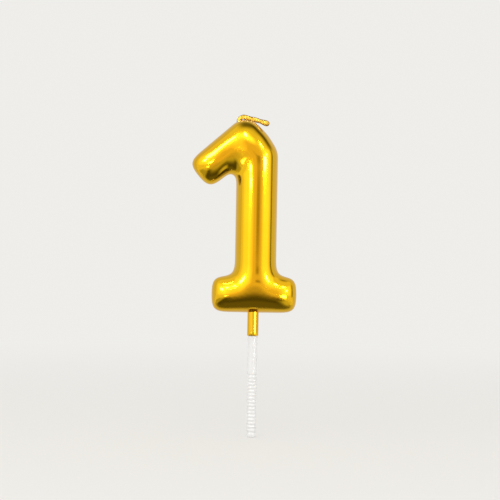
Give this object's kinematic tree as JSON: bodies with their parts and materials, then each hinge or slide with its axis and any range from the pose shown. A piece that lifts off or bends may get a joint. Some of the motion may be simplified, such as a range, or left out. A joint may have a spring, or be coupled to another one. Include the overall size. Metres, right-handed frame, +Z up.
{
  "type": "number candle",
  "caption": "Moulded wax numeral-one candle with a glossy gold coat, a folded-over cotton wick, a gold sleeve under its foot and a plain white ribbed plastic pick that stands it in a cake.",
  "frame": {"origin": "on the pick's axis, where the sleeve seats on the pick's shoulder, which is the level of the cake's surface", "axes": "+Z up along the pick, +X to the right of the numeral as it is read, front faces -Y"},
  "size_m": [0.042, 0.0172, 0.1276],
  "materials": {
    "gold_lacquer": "paraffin wax with a metallic gold lacquer, glossy with a slight orange peel",
    "gilt_cotton": "waxed two-ply cotton, brushed with the same gold lacquer",
    "gold_sleeve": "gold metallised plastic tube, glossy",
    "white_plastic": "moulded white plastic, satin, slightly translucent"
  },
  "bodies": {
    "pick": {"pick": "white_plastic"},
    "candle": {"wax_body": "gold_lacquer", "wick": "gilt_cotton", "gold_sleeve": "gold_sleeve"},
    "wick_tip": {"wick_tip": "gilt_cotton"}
  },
  "joints": [
    {"name": "candle_lift", "type": "slide", "parent": "pick", "child": "candle", "axis": [0, 0, 1], "range_m": [0, 0.018]},
    {"name": "wick_raise", "type": "hinge", "parent": "candle", "child": "wick_tip", "pos_m": [-0.0053, 0, 0.08665], "axis": [0, -1, 0], "range_deg": [0, 104]}
  ]
}
